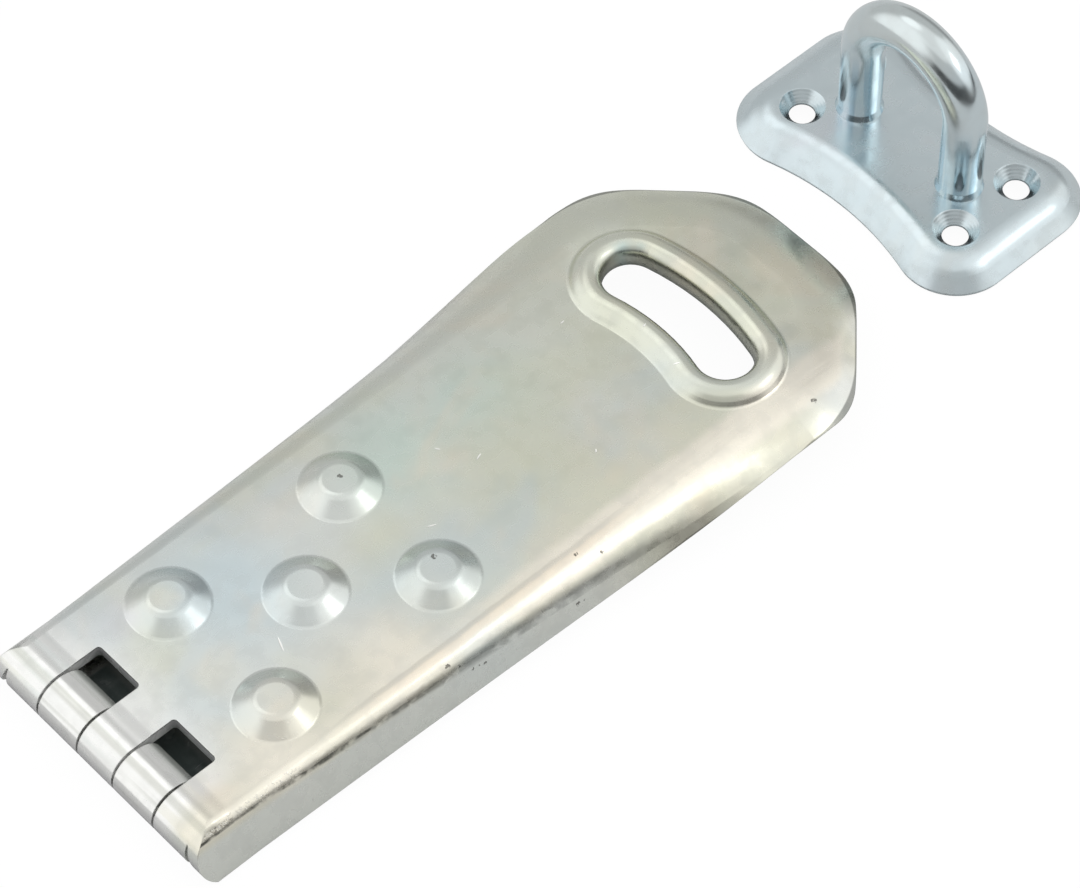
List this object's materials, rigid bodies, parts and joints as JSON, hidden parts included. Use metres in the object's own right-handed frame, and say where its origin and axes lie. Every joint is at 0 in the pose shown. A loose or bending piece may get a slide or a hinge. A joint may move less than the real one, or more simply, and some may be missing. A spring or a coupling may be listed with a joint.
{
  "type": "chest hasp",
  "caption": "Chest hasp with a long flanged cover leaf hinged over a screw-down base leaf, and a separate riveted staple whose bow passes the leaf's curved slot.",
  "frame": {"origin": "middle of the base leaf's four corner screw holes, on the face that lies on the chest", "axes": "+X from the hinge along the cover leaf to its slot and on to the staple, +Y across the leaf along the hinge pin, +Z away from the chest"},
  "size_m": [0.2607, 0.0843, 0.0466],
  "materials": {
    "cover_zinc": "bright zinc plate, faintly yellow and blue, satin",
    "base_zinc": "bright zinc plate, satin",
    "pin_steel": "zinc plated, smooth",
    "staple_zinc": "bright zinc plate, cool blue-grey, fairly glossy"
  },
  "bodies": {
    "fixed": {"base_leaf": "base_zinc", "hinge_pin": "pin_steel", "staple_plate": "staple_zinc", "staple_bow": "staple_zinc"},
    "cover": {"cover_leaf": "cover_zinc"}
  },
  "joints": [
    {"name": "leaf_hinge", "type": "hinge", "parent": "fixed", "child": "cover", "pos_m": [-0.0504, 0, 0.0063], "axis": [0, -1, 0], "range_deg": [0, 172]}
  ]
}
